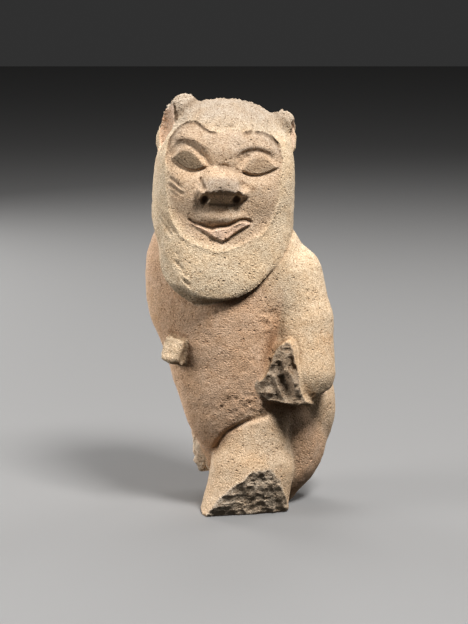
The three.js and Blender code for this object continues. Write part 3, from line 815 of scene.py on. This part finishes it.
WAVES = (5, 3, 44)  # size, layers and seed of a layered noise
RIPPLES = (0.8, 47)
PIT_DEPTH = 0.3
PITS = (2, 41, 0.16)  # spacing, seed, and the share of places that have one
PATCH_PIT_DEPTH = 0.9
PATCH_PITS = (1.8, 42, 0.8)
PATCH_NOISE = (1, 43)
# the painted shade grows between these shares of stone in front
PAINTED_SHADE_RANGE = (0.15, 0.65)
BETWEEN_EYES = -2
PALE_SHOULDER = ((44, 58), (2, 9))  # its tone grows between these heights, and between these places across


def near(form, reach, width):
    """1 on a form and in it, 0 farther away than that reach."""
    return smooth(reach - form, 0, width)


def broken_mask(p):
    """The three breaks, and half as strongly the lump at the stump."""
    broken = np.zeros(p.shape[1])
    for form, place in ((torso, STUMP_BREAK), (arm, FOREARM_BREAK), (thigh, THIGH_BREAK)):
        on_face = smooth(beyond(p, place), *BREAK_SKIN) * (form(p) < BREAK_FAR) * (p[2] < BREAK_HIGHEST)
        broken = np.maximum(broken, on_face)
    return np.maximum(broken, near(stump_lump(p), 0.4, 0.3) * 0.5)


def painted_shade_amount(p, facings):
    """How much stone stands in front of a place, from 0 in the open to 1: the strength of the painted shade.
    """
    closed = [np.clip(1 - figure(p + reach * facings) / reach, 0, 1) for reach in PAINTED_SHADE_REACHES]
    return smooth(sum(closed) / len(closed), *PAINTED_SHADE_RANGE)


def rough_mask(p):
    rough = np.zeros(p.shape[1])
    for middle, half, depth in PATCHES:
        rough = np.maximum(rough, depth * smooth(-ellipsoid(p, middle, half), -0.5, 1.5))
    return rough


class Surface:
    """The places on the mesh, and how far each lies in each area of the figure, from 0 to 1."""

    def __init__(self, mesh, p):
        self.mesh, self.p, self.q = mesh, p, head_frame(p)
        self.mark_parts()
        self.mark_face()
        self.broken = broken_mask(p)
        self.thigh_break = self.broken * (thigh(p) < arm(p))
        self.rough = rough_mask(p)
        self.mane = self.head * (1 - self.skin)

    def mark_parts(self):
        p, q = self.p, self.q
        self.head = smooth(torso(p) - head(p), -0.4, 0.2) * (q[2] > HEAD_LOWEST)
        self.arm = smooth(torso(p) - arm(p), -0.6, 0.6) * (arm(p) < head(p))
        self.thigh = smooth(torso(p) - thigh(p), -1.5, 1.5) * (1 - self.arm)
        self.knob = near(knob(p), 0.5, 0.4)
        _, hollow, slit = ears(q)
        self.ear_hollow, self.ear_slit = near(hollow, 0.4, 0.4), near(slit, 0.4, 0.4)

    def mark_face(self):
        """The face's skin, the finer carving with the painted shade in its grooves, its pupils and lips, and
        two places on the nose.
        """
        x, _, z = self.q
        front = on_front(self.q, 4, 25)
        self.skin, self.fine, self.dirt, self.pupils, self.lips = (np.zeros(x.shape) for _ in range(5))
        _, self.skin[front] = broad_carving(x[front], z[front])
        fine, dirt, pupils, lips = fine_carving(x[front], z[front])
        self.fine[front], self.dirt[front], self.pupils[front], self.lips[front] = fine, dirt, pupils, lips
        half, top, bottom = UNDER_NOSE
        across = smooth(half - np.abs(x - NOSE_X), 0, 0.6)
        self.under_nose = smooth(top - z, 0, 0.4) * smooth(z - bottom, 0, 0.6) * across * front
        tip_z, tip_half, tip_rise = NOSE_TIP
        self.nose_tip = smooth(1 - np.hypot((x - NOSE_X) / tip_half, (z - tip_z) / tip_rise), 0, 0.5) * front


def paint(surface):
    """Stores on the mesh where each tone of the stone lies, and how strongly."""
    s, p, q = surface, surface.p, surface.q
    # places that the painted shade leaves out
    spared_from_painted_shade = np.maximum.reduce([s.ear_hollow, 0.9 * s.under_nose, s.thigh_break])
    stained = np.maximum.reduce([smooth(-ellipsoid(p, *stain), -1.5, 2) for stain in STAINS])
    masks = {
        "mane": s.mane,
        # the top of the mane is painted greyer and darker; the darkening is painted shade against the strong
        # light from above
        "crown": s.mane * smooth(q[2], 12, 20),
        "broken": s.broken,
        # pale chips on the breaks, full on the thigh's break, where the pale tone is also painted fill light
        "pale_chips_and_painted_fill": s.broken * np.where(arm(p) < thigh(p), 0.15, 1),
        # painted shade: the nose tip and the forehead, which the light from above strikes most, are painted
        # darker
        "painted_shade_on_nose_and_forehead": s.head * np.maximum(0.6 * s.nose_tip, 0.35 * s.skin * smooth(q[2], 9, 12)),
        # painted shade in the cut lines, nostrils, ear slits and the grooves below the eyes
        "dirt": np.maximum(s.dirt * s.head, s.ear_slit),
        # painted shade in hollows, creases and under overhangs, where stone stands in front
        "painted_shade": painted_shade_amount(p, facings_of(s.mesh)) * (1 - spared_from_painted_shade),
        "rough": np.maximum(s.rough, 0.6 * s.pupils * s.head),
        # painted fill light: the underside of the nose and the thigh's break are painted lighter
        "painted_fill_light": np.maximum(s.under_nose * s.head, 0.6 * s.thigh_break),
        # dark patina of the eyeballs; the stronger darkening of the left eye is painted shade
        "worn": s.pupils * s.head * np.where(q[0] < BETWEEN_EYES, 1, 0.5),
        "ruddy": np.maximum(0.65 * s.ear_hollow, 0.8 * s.lips * s.head),
        "tan": np.maximum.reduce([s.arm, 0.7 * s.thigh, s.knob]) * (1 - s.head),
        "pale": (1 - s.head) * smooth(p[2], *PALE_SHOULDER[0]) * smooth(p[0], *PALE_SHOULDER[1]),
        "pink": (1 - s.head) * (1 - s.arm) * (1 - 0.7 * s.thigh),
        "orange": (1 - s.head) * stained,
    }
    for name, values in masks.items():
        values = np.clip(values, 0, 1).astype(np.float32)
        s.mesh.attributes.new(name, "FLOAT", "POINT").data.foreach_set("value", values)


def carve(surface):
    """Moves the head's front out and in by its finer carving, along the way it faces."""
    s = surface
    ahead = np.array([*turned(0, -1, -HEAD_TURN), 0])
    level = smooth((facings_of(s.mesh) * ahead[:, None]).sum(0), 0.1, 0.4) * s.head
    s.p = s.p + ahead[:, None] * s.fine * level
    move_to(s.mesh, s.p)


def hair(surface):
    """Depth of the mane's upright locks, and of the strands that part on the crown."""
    mane, q = surface.mane, surface.q
    waves = np.cos(2 * math.pi * q[0] / LOCK_SPACING + 0.8 * noise(q, *LOCK_WAVER))
    locks = mane * smooth(q[1], -2, 3) * LOCK_DEPTH * (0.5 + 0.5 * waves)
    turn, from_x, from_z = STRAND_SWEEP
    sweep = np.tan(np.radians(np.clip(turn * (from_x - q[0]), -30, 75))) * (q[2] - from_z)
    strand = q[0] - np.clip(sweep, -30, 30)
    lines = noise(np.array([strand * STRAND_FINENESS, 0 * strand, 0 * strand + 0.5]), *STRAND_NOISE)
    return locks + mane * smooth(q[2], 13, 16) * STRAND_DEPTH * (1 + lines)


def wear(surface):
    """Moves the surface inward where it is worn, pitted or rough, and along the locks and the crease."""
    s, p = surface, surface.p
    plain = 1 - np.maximum(s.broken, s.pupils)
    pits = PIT_DEPTH * pitted(p, *PITS) * (1 - 0.6 * s.head)
    coarse = np.maximum(PATCH_PIT_DEPTH * pitted(p, *PATCH_PITS), 0.35 + 0.35 * noise(p, *PATCH_NOISE))
    pits = np.maximum(pits, s.rough * coarse)
    worn = WEAR[0] + WEAR[1] * layered(p, *WAVES) + WEAR[2] * noise(p, *RIPPLES)
    crease = stroke(p[0], p[2], THIGH_CREASE, CREASE[1]) * smooth(-p[1], 4, 6) * smooth(thigh(p), -0.6, 0.3)
    depth = worn * (0.4 + 0.6 * plain) + pits * plain + hair(s) + CREASE[0] * crease
    s.p = p - facings_of(s.mesh) * np.maximum(depth * smooth(p[2], 0.2, 1.5), 0)
    low, high = (np.array(v)[:, None] / PART for v in cad_box)
    move_to(s.mesh, np.clip(s.p, low, high))


surface = Surface(stone.data, shaped_places)
paint(surface)
carve(surface)
wear(surface)
stone.data.polygons.foreach_set("use_smooth", np.ones(len(stone.data.polygons), bool))

# The stone's material: its tones, some of them painted shade and painted fill light, then tints and bump
# from grains of several sizes
SKIN_TONE = (0.55, 0.41, 0.285)
TONES = {
    # linear colours, each laid over those before it where its mask says
    "mane": (0.65, 0.52, 0.365),
    # greyer tone of the crown, darkened as painted shade against the light from above
    "crown": (0.44, 0.365, 0.285),
    "pink": (0.66, 0.45, 0.3),
    "tan": (0.67, 0.51, 0.345),
    "pale": (0.63, 0.5, 0.35),
    "orange": (0.58, 0.38, 0.22),
    # painted shade on the nose tip and the forehead
    "painted_shade_on_nose_and_forehead": (0.36, 0.31, 0.26),
    # dark patina of the eyeballs, on the left eye also painted shade
    "worn": (0.18, 0.135, 0.09),
    "ruddy": (0.77, 0.55, 0.41),
    "broken": (0.31, 0.235, 0.165),
    # painted fill light for the underside of the nose and the thigh's break
    "painted_fill_light": (0.92, 0.75, 0.56),
    # pale chips of the breaks, and painted fill light on the thigh's break
    "pale_chips_and_painted_fill": (0.66, 0.54, 0.41),
}
BLOTCHED = {
    # tones that the blotches break up: two values of the blotches, how far the tone shows at each
    "orange": (0.35, 0.65, 0, 0.8),
    # it shows at least half everywhere on the breaks, painted fill light
    "pale_chips_and_painted_fill": (0.36, 0.6, 0.5, 1),
}
GRAINS = {
    # size in metres, detail, roughness
    "clouds": (0.014, 3, 0.5),
    "drift": (0.007, 2, 0.5),
    "blotches": (0.0035, 3, 0.6),
    "lumps": (0.0011, 2, 0.6),
    "specks": (0.00052, 1, 0.75),
}
TINTS = [
    # a grain, two of its values, how far the tint shows at each of them, and the tint
    ("clouds", 0.35, 0.7, 0, 0.5, (1.08, 0.98, 0.86)),
    ("drift", 0.4, 0.62, 0, 0.7, (0.97, 0.94, 0.9)),
    ("blotches", 0.35, 0.7, 0, 0.4, (0.84, 0.78, 0.72)),
    ("lumps", 0.38, 0.55, 0.35, 0, (0.72, 0.64, 0.56)),
    ("specks", 0.27, 0.45, 1, 0, (0.42, 0.31, 0.22)),
    ("specks", 0.55, 0.71, 0, 1, (1.46, 1.49, 1.52)),
]
# painted shade: the colour is multiplied by this where stone stands in front
PAINTED_SHADE_TINT = (0.47, 0.41, 0.35)
# painted shade: the dark colour laid into the grooves
GROOVE_SHADE_TONE = (0.13, 0.08, 0.045)
ROUGHNESS = 0.92
SPECULAR = 0.25
HOLE_SPACING = 0.0017
PATCH_GRAIN = (0.001, 3, 0.7)
BUMP_DISTANCE = 0.0006
SPECK_RISE, LUMP_RISE, HOLE_DEPTH, PATCH_RISE = 0.6, 0.15, 0.8, 1.2  # as shares of that distance


class Nodes:
    """The nodes of one material."""

    def __init__(self, name):
        self.material = bpy.data.materials.new(name)
        self.material.use_nodes = True
        self.tree = self.material.node_tree
        self.shader = self.tree.nodes["Principled BSDF"]

    def add(self, kind, values=None, **settings):
        node = self.tree.nodes.new("ShaderNode" + kind)
        for key, value in settings.items():
            setattr(node, key, value)
        for key, value in (values or {}).items():
            self.put(value, node.inputs[key])
        return node

    def put(self, value, socket):
        if isinstance(value, bpy.types.NodeSocket):
            self.tree.links.new(value, socket)
        else:
            socket.default_value = value

    def mix(self, amount, a, b, mode="MIX"):
        values = {0: amount, 6: a, 7: (*b, 1)}
        return self.add("Mix", values, data_type="RGBA", blend_type=mode).outputs[2]

    def span(self, value, low, high, to_low=0.0, to_high=1.0):
        values = {"Value": value, "From Min": low, "From Max": high, "To Min": to_low, "To Max": to_high}
        return self.add("MapRange", values).outputs[0]

    def grain(self, where, size, detail, roughness):
        values = {"Vector": where, "Scale": 1 / size, "Detail": detail, "Roughness": roughness}
        return self.add("TexNoise", values).outputs[0]

    def times(self, a, b):
        return self.add("Math", {0: a, 1: b}, operation="MULTIPLY").outputs[0]

    def masked(self, name):
        return self.add("Attribute", attribute_name=name).outputs["Fac"]


def stone_colour(n, grains):
    colour = (*SKIN_TONE, 1)
    for name, tone in TONES.items():
        amount = n.masked(name)
        if name in BLOTCHED:
            amount = n.times(amount, n.span(grains["blotches"], *BLOTCHED[name]))
        colour = n.mix(amount, colour, tone)
    for grain, *ends, tint in TINTS:
        colour = n.mix(n.span(grains[grain], *ends), colour, tint, "MULTIPLY")
    # painted shade in hollows and under overhangs
    colour = n.mix(n.masked("painted_shade"), colour, PAINTED_SHADE_TINT, "MULTIPLY")
    # painted shade in the grooves
    return n.mix(n.masked("dirt"), colour, GROOVE_SHADE_TONE)


def stone_bump(n, where, grains):
    """Lumps and specks all over, small round holes in places, and a coarser grain on the rough patches."""
    cells = n.add("TexVoronoi", {"Vector": where, "Scale": 1 / HOLE_SPACING}, feature="F1")
    round_holes = n.span(cells.outputs["Distance"], 0.1, 0.32, 1, 0)
    holes = n.times(round_holes, n.span(grains["blotches"], 0.48, 0.62))
    coarse = n.times(n.masked("rough"), n.grain(where, *PATCH_GRAIN))
    height = n.times(grains["specks"], SPECK_RISE)
    for layer, rise in ((grains["lumps"], LUMP_RISE), (holes, -HOLE_DEPTH), (coarse, PATCH_RISE)):
        height = n.add("Math", {0: layer, 1: rise, 2: height}, operation="MULTIPLY_ADD").outputs[0]
    return n.add("Bump", {"Strength": 1.0, "Distance": BUMP_DISTANCE, "Height": height}).outputs[0]


def limestone():
    n = Nodes("limestone")
    where = n.add("TexCoord").outputs["Object"]
    grains = {name: n.grain(where, *values) for name, values in GRAINS.items()}
    n.put(stone_colour(n, grains), n.shader.inputs["Base Color"])
    n.put(ROUGHNESS, n.shader.inputs["Roughness"])
    n.put(SPECULAR, n.shader.inputs["Specular IOR Level"])
    n.put(stone_bump(n, where, grains), n.shader.inputs["Normal"])
    return n.material


stone.data.materials.clear()
stone.data.materials.append(limestone())

# Floor, lights and camera, in metres, degrees and watts
FLOOR_HALF = 3
FLOOR_TONE = (0.2, 0.196, 0.192)
FLOOR_ROUGHNESS = 0.8
TARGET = Vector((-1.65, 0, 46)) * PART  # the lamps and the camera face this place
LAMP_DISTANCE = 0.9
LAMPS = [
    # name, azimuth from the front towards the right, elevation, size, power
    ("key", 33, 58, 0.24, 14),
    ("side_left", -78, 22, 0.4, 5.5),
    ("rim_left", -140, 10, 0.4, 6),
    ("rim_right", 125, 25, 0.4, 3),
    ("top_back", 180, 50, 0.4, 3),
]
WORLD_TONE = (0.5, 0.5, 0.5)
WORLD_STRENGTH = 0.06
CAMERA_LENS = 120  # focal length in millimetres
CAMERA_DISTANCE = 0.81
CAMERA_ELEVATION = 10


def flat_material(name, colour, roughness):
    material = bpy.data.materials.new(name)
    material.use_nodes = True
    shader = material.node_tree.nodes["Principled BSDF"]
    shader.inputs["Base Color"].default_value = (*colour, 1)
    shader.inputs["Roughness"].default_value = roughness
    return material


def add_floor():
    b = bmesh.new()
    bmesh.ops.create_grid(b, x_segments=1, y_segments=1, size=FLOOR_HALF)
    mesh = bpy.data.meshes.new("floor")
    b.to_mesh(mesh)
    b.free()
    floor = bpy.data.objects.new("floor", mesh)
    bpy.context.scene.collection.objects.link(floor)
    floor.data.materials.append(flat_material("pale_floor", FLOOR_TONE, FLOOR_ROUGHNESS))
    floor.visible_diffuse = False


def set_round(one, azimuth, elevation, distance):
    """Sets a lamp or the camera at that distance from the target, facing it."""
    a, e = math.radians(azimuth), math.radians(elevation)
    away = Vector((math.sin(a) * math.cos(e), -math.cos(a) * math.cos(e), math.sin(e)))
    one.location = TARGET + distance * away
    one.rotation_euler = (TARGET - one.location).to_track_quat("-Z", "Y").to_euler()
    bpy.context.scene.collection.objects.link(one)


def add_lamp(name, azimuth, elevation, size, power):
    light = bpy.data.lights.new(name, "AREA")
    light.size, light.energy = size, power
    set_round(bpy.data.objects.new(name, light), azimuth, elevation, LAMP_DISTANCE)


def add_world():
    world = bpy.data.worlds.new("studio")
    world.use_nodes = True
    background = world.node_tree.nodes["Background"]
    background.inputs["Color"].default_value = (*WORLD_TONE, 1)
    background.inputs["Strength"].default_value = WORLD_STRENGTH
    bpy.context.scene.world = world
    bpy.context.scene.view_settings.view_transform = "Standard"


def add_camera():
    lens = bpy.data.cameras.new("camera")
    lens.lens = CAMERA_LENS
    camera = bpy.data.objects.new("camera", lens)
    set_round(camera, 0, CAMERA_ELEVATION, CAMERA_DISTANCE)
    bpy.context.scene.camera = camera


add_floor()
for row in LAMPS:
    add_lamp(*row)
add_world()
add_camera()
